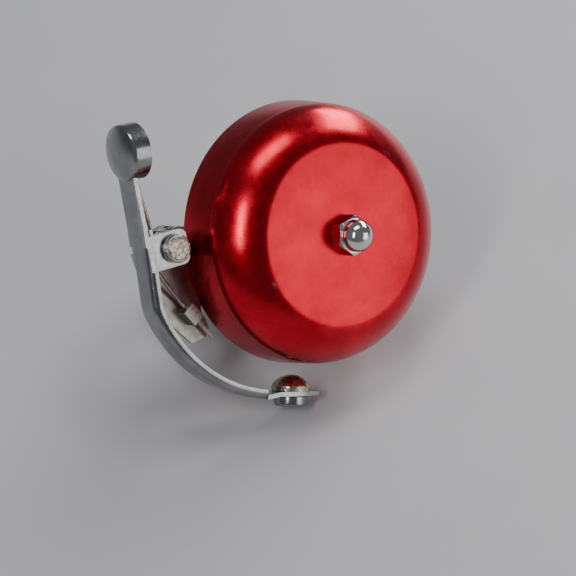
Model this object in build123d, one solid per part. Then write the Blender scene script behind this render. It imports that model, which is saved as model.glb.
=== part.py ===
from build123d import *
from math import acos, atan2, cos, degrees, pi, radians, sin, sqrt, tan
import os

# Bicycle bell with a side lever, for a 22.2 mm handlebar. Millimetres.
# Origin: centre of the handlebar bore. X runs along the bar, Z up through the dome's axis,
# and +Y points to the side that carries the lever.

# --- Handlebar clamp ---
BAR_DIA = 22.2
LINER_WALL = 0.9
LINER_GAP_DEG = 44
LINER_RELIEF = 0.3
BAND_WALL = 1.2
BAND_WIDTH = 16.0
EAR_WIDTH = 8.4
EAR_GAP = 3.8
EAR_REACH = 4.9
SEAT_FIT = 0.02
OVERCUT = 1.0

# --- Clamp screw, M5 ---
SCREW_DIA = 5.0
THREAD_PITCH = 0.8
SCREW_RUNNING_FIT = 0.08
SCREW_HEAD_DIA = 8.5
SCREW_HEAD_HEIGHT = 3.4
SCREW_HEAD_ROUND = 0.5
HEX_SOCKET_AF = 4.0
HEX_SOCKET_DEPTH = 2.2
SCREW_TIP_STANDOUT = 2.2
WASHER_DIA = 8.4
WASHER_THICK = 1.0
NUT_AF = 8.0
NUT_HEIGHT = 4.0
HEX_BEVEL_DEG = 30
HEX_BEVEL_CLEAR = 1.05
NUT_TO_BAND_GAP = 0.4

# --- Dome ---
DOME_DIA = 60.0
DOME_WALL = 1.6
SKIRT_HEIGHT = 10.2
SKIRT_TAPER = 0.55
SHOULDER_RADIAL = 9.4
SHOULDER_HEIGHT = 10.0
SHOULDER_FULLNESS = 0.43
CROWN_RISE = 0.8
RIM_ABOVE_BAR = 18.0
STUD_CLEARANCE = 0.15

# --- Dome post and its washers ---
POST_DIA = 7.5
POST_FLANGE_DIA = 10.4
POST_FLANGE_THICK = 1.6
STUD_DIA = 5.0
STUD_IN_NUT = 4.6
RIVET_DISC_DIA = 8.0
RIVET_DISC_THICK = 0.6
SADDLE_DIA = 11.6
SADDLE_TOP_GAP = 1.0
SEAT_WASHER_DIA = 13.0
SEAT_WASHER_THICK = 1.0
SPRING_WASHER_DIA = 9.2
SPRING_WASHER_THICK = 1.2
SPRING_WASHER_SLIT = 0.6
SPRING_WASHER_SLIT_TILT = 28

# --- Acorn nut, M5 low form ---
ACORN_AF = 8.0
ACORN_HEX_HEIGHT = 3.6
ACORN_COLLAR = 0.5
ACORN_CAP_DIA = 7.4
ACORN_HOLE_SPARE = 0.3

# --- Lever, all plan positions measured from the dome's axis ---
PIVOT_X = -3.7
PIVOT_FROM_DOME = 6.3
LEVER_SHEET = 1.0
LEVER_WIDTH = 7.0
ARM_CENTRE_X = -0.7
ARM_CENTRE_Y = 8.1
ARM_FROM_DOME = 7.1
ARM_FLANGE_DEPTH = 2.2
STEM_TURN = 11.1
STEM_FROM_PIVOT = 7.3
KNEE_RADIUS = 9.0
PRESS_RADIUS = 1.7
STEM_NARROWS_X = 1.0
STEM_WIDTH = 6.4
STEM_FLARE = 1.0
TONGUE_STEP = 0.7
TONGUE_STEP_LENGTH = 3.4
TONGUE_PAST_HAMMER = 7.2
TONGUE_CLEAR_OF_HEAD = 0.5
TONGUE_WIDTH = 4.4
EAR_TURN = 14.0
EAR_HALF_WIDTH = 4.0
EAR_PAST_PIVOT = 3.5
EAR_CORNER = 1.8

# --- Thumb pad ---
PAD_DIA = 12.6
PAD_CENTRE_X = 17.0
PAD_RISE = 2.6
PAD_STANDS_OUT = 0.4
PAD_DEPTH = 4.2
PAD_CROWN = 1.2
PAD_EDGE_RADIUS = 1.9

# --- Pivot ---
PIN_DIA = 4.0
PIN_HEAD_DIA = 6.4
PIN_HEAD_HEIGHT = 1.5
PIN_SHOULDER_DIA = 6.0
PIN_TAIL_DIA = 6.2
PIN_TAIL_HEIGHT = 1.4
PIN_HEAD_CHAMFER = 0.45
PIN_TAIL_ROUND = 0.6
PIVOT_RUNNING_FIT = 0.08
PIVOT_END_PLAY = 0.1
SLEEVE_DIA = 5.2
PIVOT_WASHER_DIA = 6.8
PIVOT_WASHER_THICK = 0.4

# --- Torsion spring ---
WIRE_DIA = 0.9
WIRE_CLEARANCE = 0.06
LEG_OVERLAP = 0.01
COIL_INNER_PLAY = 0.8
COIL_TURN_GAP = 0.1
COIL_END_ROOM = 0.6
COIL_CLEARANCE = 0.1
UPPER_LEG_SHORT_OF_PAD = 0.2
UPPER_LEG_RISE = 4.3
LOWER_LEG_BEND_X = -5.3
LOWER_LEG_BEND_Y = 1.4
LOWER_LEG_PAST_HOOK = 8.0

# --- Hammer ---
HAMMER_Y = 2.2
HAMMER_HEAD_DIA = 8.9
HAMMER_HEAD_HEIGHT = 3.7
HAMMER_RIM = 1.2
HAMMER_SHANK_DIA = 3.2
HAMMER_SHANK_IN_CAP = 1.3
CONTACT_GAP = 0.02
HAMMER_CAP_DIA = 7.7
HAMMER_CAP_HEIGHT = 2.5

# --- Bracket between clamp and pivot, plan sizes in the pivot's frame turned along the plate ---
BRACKET_SHEET = 1.2
BRACKET_TURN = 23.0
BRACKET_TOP_BELOW_RIM = 2.0
BRACKET_LENGTH = 24.2
PLATE_INNER = 6.4
PLATE_OUTER = 4.6
PLATE_END_R = 3.5
PLATE_TAPER_FROM = 14.0
LEG_TOP_WIDTH = 5.0
LEG_FOOT_WIDTH = 7.2
LEG_FOOT_SHIFT = 9.4
SKIRT_DEPTH = 3.0
HOOK_ALONG = -17.3
HOOK_ACROSS = -2.6
HOOK_LENGTH = 4.2
HOOK_WIDTH = 3.2
HOOK_HEIGHT = 4.4

# --- Levels and radii that follow from the sizes above ---
BAR_R = BAR_DIA / 2
LINER_R = BAR_R + LINER_WALL
BAND_IN_R = LINER_R + SEAT_FIT
BAND_OUT_R = BAND_IN_R + BAND_WALL
RIM_Z = RIM_ABOVE_BAR
DOME_R = DOME_DIA / 2
PIVOT_Y = DOME_R + PIVOT_FROM_DOME
ARM_RADIUS = DOME_R + ARM_FROM_DOME
CROWN_EDGE_R = DOME_R - SKIRT_TAPER - SHOULDER_RADIAL
CROWN_EDGE_Z = RIM_Z + SKIRT_HEIGHT + SHOULDER_HEIGHT
CROWN_Z = CROWN_EDGE_Z + CROWN_RISE
CROWN_SAG = CROWN_RISE * (SEAT_WASHER_DIA / 2 / CROWN_EDGE_R) ** 2
DOME_UNDER_Z = CROWN_Z - DOME_WALL - CROWN_SAG - SEAT_FIT
SADDLE_TOP_Z = BAND_OUT_R + SADDLE_TOP_GAP
SEAT_WASHER_Z = DOME_UNDER_Z - SEAT_WASHER_THICK
POST_TOP_Z = SEAT_WASHER_Z - SPRING_WASHER_THICK

EAR_TOP_Z = 0.0
FLANGE_TOP_Z = EAR_TOP_Z - BAND_WALL
FLANGE_BOTTOM_Z = FLANGE_TOP_Z - BRACKET_SHEET
LOWER_EAR_TOP_Z = EAR_TOP_Z - BAND_WALL - EAR_GAP
LOWER_EAR_Z = LOWER_EAR_TOP_Z - BAND_WALL
SCREW_SEAT_Z = LOWER_EAR_Z - WASHER_THICK
SCREW_X = (EAR_WIDTH - BAND_WIDTH) / 2
SCREW_Y = BAND_OUT_R + NUT_TO_BAND_GAP + NUT_AF / 2
SCREW_TIP_Z = EAR_TOP_Z + NUT_HEIGHT + SCREW_TIP_STANDOUT

LEVER_Z = RIM_Z
LEVER_TOP_Z = LEVER_Z + LEVER_WIDTH
BRACKET_TOP_Z = RIM_Z - BRACKET_TOP_BELOW_RIM
BRACKET_Z = BRACKET_TOP_Z - BRACKET_SHEET
PIVOT = Pos(PIVOT_X, PIVOT_Y, 0)
BRACKET_FRAME = PIVOT * Rot(0, 0, BRACKET_TURN)
PAD_Z = LEVER_Z + PAD_RISE
TONGUE_X = ARM_CENTRE_X - ARM_RADIUS + TONGUE_STEP
TONGUE_TOP_Y = HAMMER_Y + HAMMER_HEAD_DIA / 2 + TONGUE_CLEAR_OF_HEAD
EAR_SPACE = LEVER_WIDTH - 2 * LEVER_SHEET
COIL_MEAN_DIA = SLEEVE_DIA + WIRE_DIA + COIL_INNER_PLAY
COIL_HEIGHT = EAR_SPACE - 2 * PIVOT_END_PLAY - WIRE_DIA - COIL_END_ROOM
COIL_TURNS = int(COIL_HEIGHT / (WIRE_DIA + COIL_TURN_GAP))
HAMMER_Z = LEVER_Z + LEVER_WIDTH / 2


def rod(radius, low, high, x=0.0, y=0.0):
    """A round bar along Z between two levels."""
    return Pos(x, y, low) * extrude(Circle(radius), high - low)


def tube(outer, inner, low, high, x=0.0, y=0.0):
    """A round tube along Z between two levels."""
    return Pos(x, y, low) * extrude(Circle(outer) - Circle(inner), high - low)


def hexagon(across_flats, low, high, x=0.0, y=0.0):
    """A hexagonal bar along Z, with two corners along X."""
    section = RegularPolygon(across_flats / sqrt(3), 6)
    return Pos(x, y, low) * extrude(section, high - low)


def chamfered_hexagon(across_flats, low, high, x=0.0, y=0.0):
    """A hexagonal bar whose corners are turned down by a cone at both ends."""
    corner = across_flats / sqrt(3)
    body = hexagon(across_flats, low, high, x, y)
    height = high - low
    bevel = (corner - across_flats / 2) * HEX_BEVEL_CLEAR
    drop = bevel * tan(radians(HEX_BEVEL_DEG))
    outline = Polyline(
        (0, 0), (corner - bevel, 0), (corner, drop), (corner, height - drop),
        (corner - bevel, height), (0, height), close=True,
    )
    turned = revolve(Plane.XZ * make_face(outline), Axis.Z)
    return body & (Pos(x, y, low) * turned)


def along_bar(section, width):
    """Extrude a section drawn in the Y-Z plane by a width along X, centred on X = 0."""
    return extrude(Plane.YZ * section, width / 2, both=True)


def dome_outline(wall):
    """Half section of the dome, filled to the axis, with its skin moved in by a wall."""
    head = (DOME_R - SKIRT_TAPER - wall, RIM_Z + SKIRT_HEIGHT)
    edge = (CROWN_EDGE_R, CROWN_EDGE_Z - wall)
    slope = 2 * CROWN_RISE / CROWN_EDGE_R
    lift = SHOULDER_FULLNESS * (edge[1] - head[1])
    reach = SHOULDER_FULLNESS * (head[0] - edge[0])
    shoulder = Bezier(head, (head[0], head[1] + lift), (edge[0] + reach, edge[1] - reach * slope), edge)
    top = (0, CROWN_Z - wall)
    crown = ThreePointArc(edge, (CROWN_EDGE_R / 2, CROWN_Z - wall - CROWN_RISE / 4), top)
    foot = (DOME_R - wall, RIM_Z)
    return make_face([Line(foot, head), shoulder, crown, Polyline(top, (0, RIM_Z), foot)])


def dome_shell():
    """Thin shell of revolution between the dome's outer and inner skins."""
    solid = revolve(Plane.XZ * dome_outline(0), Axis.Z)
    hollow = revolve(Plane.XZ * dome_outline(DOME_WALL), Axis.Z)
    return solid - hollow


def make_dome():
    """Thin spun dome with a clearance hole for the stud."""
    hole = rod(STUD_DIA / 2 + STUD_CLEARANCE, DOME_UNDER_Z - OVERCUT, CROWN_Z + OVERCUT)
    return dome_shell() - hole


def make_acorn_nut():
    """Low acorn nut with a blind hole for the stud."""
    hex_top = CROWN_Z + ACORN_HEX_HEIGHT
    cap_r = ACORN_CAP_DIA / 2
    body = chamfered_hexagon(ACORN_AF, CROWN_Z, hex_top)
    body += rod(cap_r, hex_top - OVERCUT, hex_top + ACORN_COLLAR)
    body += Pos(0, 0, hex_top + ACORN_COLLAR) * Sphere(cap_r)
    return body - rod(STUD_DIA / 2 + SEAT_FIT, CROWN_Z - OVERCUT, CROWN_Z + STUD_IN_NUT + ACORN_HOLE_SPARE)


def make_dome_post():
    """Turned post: flange on the saddle, body, stud for the nut and a riveted foot in the band."""
    flange = rod(POST_FLANGE_DIA / 2, SADDLE_TOP_Z, SADDLE_TOP_Z + POST_FLANGE_THICK)
    body = rod(POST_DIA / 2, SADDLE_TOP_Z, POST_TOP_Z)
    stud = rod(STUD_DIA / 2, POST_TOP_Z, CROWN_Z + STUD_IN_NUT)
    neck = rod(STUD_DIA / 2, BAND_IN_R - OVERCUT, SADDLE_TOP_Z)
    foot = rod(RIVET_DISC_DIA / 2, BAR_R - OVERCUT, BAND_IN_R)
    band_inside = along_bar(Circle(BAND_IN_R - SEAT_FIT), RIVET_DISC_DIA + 2 * OVERCUT)
    foot_underside = along_bar(Circle(BAND_IN_R - RIVET_DISC_THICK), RIVET_DISC_DIA + 2 * OVERCUT)
    return flange + body + stud + (neck - foot_underside) + ((foot & band_inside) - foot_underside)


def make_saddle_washer():
    """Round washer, flat on top and hollowed below to sit on the band."""
    disc = tube(SADDLE_DIA / 2, STUD_DIA / 2 + SEAT_FIT, BAR_R, SADDLE_TOP_Z)
    return disc - along_bar(Circle(BAND_OUT_R + SEAT_FIT), SADDLE_DIA + 2 * OVERCUT)


def make_seat_washer():
    """Soft washer under the dome's crown."""
    return tube(SEAT_WASHER_DIA / 2, STUD_DIA / 2 + STUD_CLEARANCE, SEAT_WASHER_Z, DOME_UNDER_Z)


def make_spring_washer():
    """Split ring between the post's shoulder and the soft washer."""
    ring = tube(SPRING_WASHER_DIA / 2, STUD_DIA / 2 + STUD_CLEARANCE, POST_TOP_Z, SEAT_WASHER_Z)
    slit = Box(SPRING_WASHER_DIA / 2, SPRING_WASHER_SLIT, SPRING_WASHER_DIA)
    slit = Pos(SPRING_WASHER_DIA / 2, 0, POST_TOP_Z) * Rot(SPRING_WASHER_SLIT_TILT, 0, 0) * slit
    return ring - slit


def ear_plate(low, high):
    """One ear of the band, with a rounded outer end round the screw."""
    root = BAND_IN_R / 2
    length = SCREW_Y + EAR_REACH - root
    blank = Pos(SCREW_X, root + length / 2, 0) * Rectangle(EAR_WIDTH, length)
    blank = fillet(blank.vertices().group_by(Axis.Y)[-1], EAR_WIDTH / 3)
    return Pos(0, 0, low) * extrude(blank, high - low)


def make_clamp_band():
    """One steel strip round the bar, its two ends turned out as ears for the screw."""
    ring = Circle(BAND_OUT_R) - Circle(BAND_IN_R)
    mouth = Pos(BAND_OUT_R, (FLANGE_TOP_Z + LOWER_EAR_TOP_Z) / 2) * Rectangle(BAND_OUT_R, EAR_GAP)
    band = along_bar(ring - mouth, BAND_WIDTH)
    bore = along_bar(Circle(BAND_IN_R + BAND_WALL / 2), 2 * BAND_WIDTH)
    band += ear_plate(EAR_TOP_Z - BAND_WALL, EAR_TOP_Z) - bore
    band += ear_plate(LOWER_EAR_Z, LOWER_EAR_TOP_Z) - bore
    band -= screw_hole(LOWER_EAR_Z, EAR_TOP_Z)
    return band - rod(STUD_DIA / 2 + SEAT_FIT, BAR_R, BAND_OUT_R + OVERCUT)


def screw_hole(low, high):
    """Clearance hole for the clamp screw, past both faces of a sheet."""
    return rod(SCREW_DIA / 2 + SCREW_RUNNING_FIT, low - OVERCUT, high + OVERCUT, SCREW_X, SCREW_Y)


def make_bar_liner():
    """Rubber strip between band and bar, open at the ears and relieved for the post's foot."""
    ring = Circle(LINER_R) - Circle(BAR_R)
    half = radians(LINER_GAP_DEG / 2)
    middle = atan2((EAR_TOP_Z + LOWER_EAR_Z) / 2, BAND_OUT_R)
    far = 2 * LINER_R
    corners = [(far * cos(angle), far * sin(angle)) for angle in (middle - half, middle + half)]
    liner = along_bar(ring - make_face(Polyline((0, 0), *corners, close=True)), BAND_WIDTH)
    return liner - rod(RIVET_DISC_DIA / 2 + LINER_RELIEF, BAR_R - OVERCUT, BAND_OUT_R)


def make_clamp_screw():
    """Socket-head M5 screw, entered from below."""
    head = rod(SCREW_HEAD_DIA / 2, SCREW_SEAT_Z - SCREW_HEAD_HEIGHT, SCREW_SEAT_Z, SCREW_X, SCREW_Y)
    head = fillet(head.edges().group_by(Axis.Z)[0], SCREW_HEAD_ROUND)
    shank = rod(SCREW_DIA / 2, SCREW_SEAT_Z, SCREW_TIP_Z, SCREW_X, SCREW_Y)
    shank = chamfer(shank.edges().group_by(Axis.Z)[-1], THREAD_PITCH / 2)
    low = SCREW_SEAT_Z - SCREW_HEAD_HEIGHT
    socket = hexagon(HEX_SOCKET_AF, low - OVERCUT, low + HEX_SOCKET_DEPTH, SCREW_X, SCREW_Y)
    return head + shank - socket


def make_screw_washer():
    """Plain washer under the screw's head."""
    inner = SCREW_DIA / 2 + SCREW_RUNNING_FIT
    return tube(WASHER_DIA / 2, inner, SCREW_SEAT_Z, LOWER_EAR_Z, SCREW_X, SCREW_Y)


def make_clamp_nut():
    """Hexagon nut on the upper ear, one flat facing the band."""
    nut = chamfered_hexagon(NUT_AF, EAR_TOP_Z, EAR_TOP_Z + NUT_HEIGHT, SCREW_X, SCREW_Y)
    return nut - screw_hole(EAR_TOP_Z, EAR_TOP_Z + NUT_HEIGHT)


def plate_blank():
    """Plan of the top plate in the pivot's turned frame: round at the pivot, tapered to the leg."""
    leg_outer = LEG_TOP_WIDTH - PLATE_INNER
    edge = make_face(Polyline(
        (-BRACKET_LENGTH, -PLATE_INNER), (0, -PLATE_INNER), (0, PLATE_OUTER),
        (-PLATE_TAPER_FROM, PLATE_OUTER), (-BRACKET_LENGTH, leg_outer), close=True,
    ))
    return edge + Circle(PLATE_END_R)


def leg_outline():
    """The leg seen square to its face: a strip that curves in toward the foot."""
    top, low = BRACKET_TOP_Z, FLANGE_BOTTOM_Z
    bow_z = top - (top - low) / 3
    inner = -PLATE_INNER
    outer = inner + LEG_TOP_WIDTH
    inner_low = inner - LEG_FOOT_SHIFT
    outer_low = inner_low + LEG_FOOT_WIDTH
    outer_edge = Bezier((outer, top), (outer - LEG_FOOT_SHIFT / 2, bow_z), (outer_low, low))
    inner_edge = Bezier((inner_low, low), (inner - LEG_FOOT_SHIFT / 2, bow_z), (inner, top))
    foot = Line(outer_edge @ 1, inner_edge @ 0)
    head = Line(inner_edge @ 1, outer_edge @ 0)
    return make_face([outer_edge, foot, inner_edge, head])


def bracket_foot():
    """Flat foot from the leg to the clamp screw."""
    inner_low = -PLATE_INNER - LEG_FOOT_SHIFT
    toes = []
    for across in (inner_low, inner_low + LEG_FOOT_WIDTH):
        corner = (BRACKET_FRAME * Pos(-BRACKET_LENGTH, across, 0)).position
        toes.append((corner.X, corner.Y))
    inner_y = BAND_OUT_R + NUT_TO_BAND_GAP
    outer_y = SCREW_Y + EAR_REACH
    near_x = SCREW_X - EAR_WIDTH / 2
    far_x = SCREW_X + EAR_WIDTH / 2
    inner_side = [toes[0], (near_x, inner_y), (far_x, inner_y)]
    outer_side = [(far_x, outer_y), (near_x, outer_y), toes[1]]
    foot = make_face(Polyline(*inner_side, *outer_side, close=True))
    foot = fillet(foot.vertices().group_by(Axis.X)[-1], EAR_WIDTH / 4)
    return Pos(0, 0, FLANGE_BOTTOM_Z) * extrude(foot, BRACKET_SHEET)


def hook_tab():
    """Tab raised from the plate and folded over the spring's lower leg."""
    wall_y = WIRE_DIA / 2 + WIRE_CLEARANCE + BRACKET_SHEET / 2
    wall = Pos(0, wall_y, BRACKET_Z + HOOK_HEIGHT / 2) * Box(HOOK_LENGTH, BRACKET_SHEET, HOOK_HEIGHT)
    lip_y = wall_y - HOOK_WIDTH / 2 + BRACKET_SHEET / 2
    lip_z = BRACKET_Z + HOOK_HEIGHT - BRACKET_SHEET / 2
    lip = Pos(0, lip_y, lip_z) * Box(HOOK_LENGTH, HOOK_WIDTH, BRACKET_SHEET)
    place = (BRACKET_FRAME * Pos(HOOK_ALONG, HOOK_ACROSS, 0)).position
    back_x = PIVOT_X + LOWER_LEG_BEND_X - place.X
    back_y = PIVOT_Y + LOWER_LEG_BEND_Y - place.Y
    along_wire = degrees(atan2(back_y, back_x))
    return Pos(place.X, place.Y, 0) * Rot(0, 0, along_wire) * (wall + lip)


def make_lever_bracket():
    """Bent strip: foot clamped under the band's ear, leg, top plate with skirt, hook and pivot hole."""
    plate = BRACKET_FRAME * Pos(0, 0, BRACKET_Z) * extrude(plate_blank(), BRACKET_SHEET)
    skirt = BRACKET_FRAME * Pos(
        -PLATE_TAPER_FROM / 2, PLATE_OUTER - BRACKET_SHEET / 2, BRACKET_TOP_Z - SKIRT_DEPTH / 2
    ) * Box(PLATE_TAPER_FROM, BRACKET_SHEET, SKIRT_DEPTH)
    leg = BRACKET_FRAME * Pos(-BRACKET_LENGTH, 0, 0) * extrude(Plane.YZ * leg_outline(), BRACKET_SHEET)
    bracket = plate + skirt + leg + bracket_foot() + hook_tab()
    bracket -= rod(PIN_DIA / 2 + SEAT_FIT, BRACKET_Z - OVERCUT, BRACKET_TOP_Z + OVERCUT, PIVOT_X, PIVOT_Y)
    return bracket - screw_hole(FLANGE_BOTTOM_Z, FLANGE_TOP_Z)


def stem_point(x, inset):
    """Point of the stem's line at a given X, moved in from the outer face."""
    turn = radians(STEM_TURN)
    y = PIVOT_Y + (STEM_FROM_PIVOT - inset) / cos(turn) + (x - PIVOT_X) * sin(turn) / cos(turn)
    return x, y


def knee_point(inset):
    """Where the stem's line meets the arm's circle, both moved in from the outer face."""
    turn = radians(STEM_TURN)
    radius = ARM_RADIUS - inset
    x0, y0 = stem_point(ARM_CENTRE_X, inset)
    offset = (y0 - ARM_CENTRE_Y) * cos(turn)
    along = -sqrt(radius ** 2 - offset ** 2)
    x = ARM_CENTRE_X + along * cos(turn) - offset * sin(turn)
    y = ARM_CENTRE_Y + along * sin(turn) + offset * cos(turn)
    return x, y


def arm_point(radius, angle):
    """Point of the arm's circle at an angle in radians."""
    return ARM_CENTRE_X + radius * cos(angle), ARM_CENTRE_Y + radius * sin(angle)


def arm_arc(inset, end_y):
    """Arc of the arm from the knee to a given Y, moved in from the outer face."""
    radius = ARM_RADIUS - inset
    knee = knee_point(inset)
    start = atan2(knee[1] - ARM_CENTRE_Y, knee[0] - ARM_CENTRE_X)
    end = pi - atan2(end_y - ARM_CENTRE_Y, radius)
    return ThreePointArc(knee, arm_point(radius, (start + end) / 2), arm_point(radius, end))


def strip_face(outset, inset, far_x, arm_end_y):
    """Plan of a strip between two depths below the outer face, from the stem round the knee to the arm."""
    outer = arm_arc(outset, arm_end_y)
    inner = arm_arc(inset, arm_end_y)
    start_out = stem_point(far_x, outset)
    start_in = stem_point(far_x, inset)
    face = make_face([
        Line(start_out, outer @ 0), outer, Line(outer @ 1, inner @ 1), inner,
        Line(inner @ 0, start_in), Line(start_in, start_out),
    ])
    knees = [Vector(*knee_point(depth)) for depth in (outset, inset)]
    bends = [face.vertices().sort_by_distance(knee)[0] for knee in knees]
    return fillet(bends, KNEE_RADIUS)


def tongue_face():
    """Plan of the tongue that steps in from the arm and carries the hammer."""
    arc_end = arm_arc(0, TONGUE_TOP_Y + TONGUE_STEP_LENGTH) @ 1
    tip_y = HAMMER_Y - TONGUE_PAST_HAMMER
    return make_face(Polyline(
        (arc_end.X, arc_end.Y), (TONGUE_X, TONGUE_TOP_Y), (TONGUE_X, tip_y),
        (TONGUE_X + LEVER_SHEET, tip_y), (TONGUE_X + LEVER_SHEET, TONGUE_TOP_Y),
        (arc_end.X + LEVER_SHEET, arc_end.Y), close=True,
    ))


def stem_silhouette():
    """The stem seen along Y: it widens into the thumb pad."""
    neck_x = PAD_CENTRE_X - PAD_DIA / 2
    low, high = PAD_Z - STEM_WIDTH / 2, PAD_Z + STEM_WIDTH / 2
    root = [(PIVOT_X, LEVER_TOP_Z), (PIVOT_X, LEVER_Z)]
    lower = [(STEM_NARROWS_X, LEVER_Z), (neck_x, low), (PAD_CENTRE_X, low - STEM_FLARE)]
    upper = [(PAD_CENTRE_X, high + STEM_FLARE), (neck_x, high), (STEM_NARROWS_X, LEVER_TOP_Z)]
    return extrude(Plane.XZ * make_face(Polyline(*root, *lower, *upper, close=True)), -2 * PIVOT_Y)


def make_stem():
    """Flat part of the lever from the ears to the thumb pad."""
    far_x = PAD_CENTRE_X - PAD_DIA / 2 + LEVER_SHEET
    ends = (PIVOT_X, far_x)
    outer = [stem_point(x, 0) for x in ends]
    inner = [stem_point(x, LEVER_SHEET) for x in reversed(ends)]
    tall = 4 * LEVER_WIDTH
    slab = Pos(0, 0, LEVER_Z - tall / 2) * extrude(make_face(Polyline(*outer, *inner, close=True)), tall)
    return slab & stem_silhouette()


def make_arm():
    """Channel-shaped arm, its outer edges rounded as pressed."""
    arm_end_y = TONGUE_TOP_Y + TONGUE_STEP_LENGTH
    ear_x = PIVOT_X + EAR_HALF_WIDTH
    block = Pos(0, 0, LEVER_Z) * extrude(strip_face(0, ARM_FLANGE_DEPTH, ear_x, arm_end_y), LEVER_WIDTH)
    lengthwise = [edge for edge in block.edges() if edge.length > LEVER_WIDTH + SEAT_FIT]
    rims = [edge for edge in lengthwise if near_outer_face(edge @ 0.5, ARM_FLANGE_DEPTH / 2)]
    block = fillet(rims, PRESS_RADIUS)
    hollow_end_y = arm_end_y - LEVER_WIDTH
    hollow_plan = strip_face(LEVER_SHEET, 2 * ARM_FLANGE_DEPTH, 2 * ear_x + ARM_RADIUS, hollow_end_y)
    return block - Pos(0, 0, LEVER_Z + LEVER_SHEET) * extrude(hollow_plan, LEVER_WIDTH - 2 * LEVER_SHEET)


def near_outer_face(point, reach):
    """Whether a point lies within a reach of the lever's outer face, seen in plan."""
    from_arm = ARM_RADIUS - sqrt((point.X - ARM_CENTRE_X) ** 2 + (point.Y - ARM_CENTRE_Y) ** 2)
    turn = radians(STEM_TURN)
    from_stem = STEM_FROM_PIVOT - ((point.Y - PIVOT_Y) * cos(turn) - (point.X - PIVOT_X) * sin(turn))
    return min(from_arm, from_stem) < reach


def ear_face():
    """Plan of one pivot ear, turned from square and rounded at its free end."""
    reach = STEM_FROM_PIVOT - LEVER_SHEET / 2
    length = reach + EAR_PAST_PIVOT
    blank = Pos(0, reach - length / 2) * Rectangle(2 * EAR_HALF_WIDTH, length)
    blank = fillet(blank.vertices().group_by(Axis.Y)[0], EAR_CORNER)
    return PIVOT * Rot(0, 0, EAR_TURN) * blank


def crowned_button(radius, top):
    """Round block with a rounded rim and a crowned top, its axis along Z."""
    body = Pos(0, 0, top) * Cylinder(radius, 2 * PAD_DEPTH, align=(Align.CENTER, Align.CENTER, Align.MAX))
    body = fillet(body.edges().group_by(Axis.Z)[-1], PAD_EDGE_RADIUS)
    ball = (radius ** 2 + PAD_CROWN ** 2) / (2 * PAD_CROWN)
    return body & (Pos(0, 0, top - ball) * Sphere(ball))


def thumb_pad():
    """Hollow round cap, crowned on its outer side, with its axis square to the stem."""
    radius = PAD_DIA / 2
    cap = crowned_button(radius, PAD_CROWN) - crowned_button(radius - LEVER_SHEET, PAD_CROWN - LEVER_SHEET)
    cap -= Pos(0, 0, -2 * PAD_DEPTH) * Box(PAD_DIA + OVERCUT, PAD_DIA + OVERCUT, 2 * PAD_DEPTH)
    x, y = stem_point(PAD_CENTRE_X, -PAD_STANDS_OUT)
    return Pos(x, y, PAD_Z) * Rot(0, 0, STEM_TURN) * Rot(-90, 0, 0) * cap


def make_tongue():
    """Flat tongue that steps in from the arm, narrows and carries the hammer."""
    start_y = TONGUE_TOP_Y + TONGUE_STEP_LENGTH
    tip_y = HAMMER_Y - TONGUE_PAST_HAMMER
    half = LEVER_WIDTH / 2
    narrow = TONGUE_WIDTH / 2
    outline = Polyline(
        (start_y, HAMMER_Z - half), (start_y, HAMMER_Z + half), (HAMMER_Y, HAMMER_Z + half),
        (tip_y, HAMMER_Z + narrow), (tip_y, HAMMER_Z - narrow), (HAMMER_Y, HAMMER_Z - half), close=True,
    )
    seen = extrude(Plane.YZ * make_face(outline), -2 * ARM_RADIUS)
    seen = fillet(seen.edges().filter_by(Axis.X).group_by(Axis.Y)[0], TONGUE_WIDTH / 3)
    return seen & (Pos(0, 0, LEVER_Z) * extrude(tongue_face(), LEVER_WIDTH))


def make_strike_lever():
    """Pressed lever: channel arm, tongue, two pivot ears, stem and thumb pad."""
    lever = make_arm() + make_stem() + make_tongue()
    for low in (LEVER_Z, LEVER_TOP_Z - LEVER_SHEET):
        lever += Pos(0, 0, low) * extrude(ear_face(), LEVER_SHEET)
    lever += thumb_pad()
    lever -= rod(PIN_DIA / 2 + PIVOT_RUNNING_FIT, LEVER_Z - OVERCUT, LEVER_TOP_Z + OVERCUT, PIVOT_X, PIVOT_Y)
    rivet_hole = Cylinder(HAMMER_SHANK_DIA / 2 + SEAT_FIT, 4 * LEVER_SHEET)
    return lever - Pos(TONGUE_X, HAMMER_Y, HAMMER_Z) * Rot(0, 90, 0) * rivet_hole


def make_hammer_head():
    """Striker: domed head toward the dome, shank through the tongue into the cap."""
    radius = HAMMER_HEAD_DIA / 2
    rise = HAMMER_HEAD_HEIGHT - HAMMER_RIM
    ball = (radius ** 2 + rise ** 2) / (2 * rise)
    upward = (Align.CENTER, Align.CENTER, Align.MIN)
    head = Cylinder(radius, HAMMER_HEAD_HEIGHT, align=upward)
    head = head & (Pos(0, 0, HAMMER_HEAD_HEIGHT - ball) * Sphere(ball))
    shank_length = LEVER_SHEET + HAMMER_SHANK_IN_CAP
    head += Pos(0, 0, -shank_length) * Cylinder(HAMMER_SHANK_DIA / 2, shank_length + OVERCUT, align=upward)
    return Pos(TONGUE_X + LEVER_SHEET + CONTACT_GAP, HAMMER_Y, HAMMER_Z) * Rot(0, 90, 0) * head


def make_hammer_cap():
    """Closing cap of the hammer rivet, on the tongue's outer face."""
    downward = (Align.CENTER, Align.CENTER, Align.MAX)
    cap = Cylinder(HAMMER_CAP_DIA / 2, HAMMER_CAP_HEIGHT, align=downward)
    cap = fillet(cap.edges().group_by(Axis.Z)[0], HAMMER_CAP_HEIGHT / 3)
    cap -= Cylinder(HAMMER_SHANK_DIA / 2 + SEAT_FIT, HAMMER_SHANK_IN_CAP + 2 * CONTACT_GAP, align=downward)
    return Pos(TONGUE_X - CONTACT_GAP, HAMMER_Y, HAMMER_Z) * Rot(0, 90, 0) * cap


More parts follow.
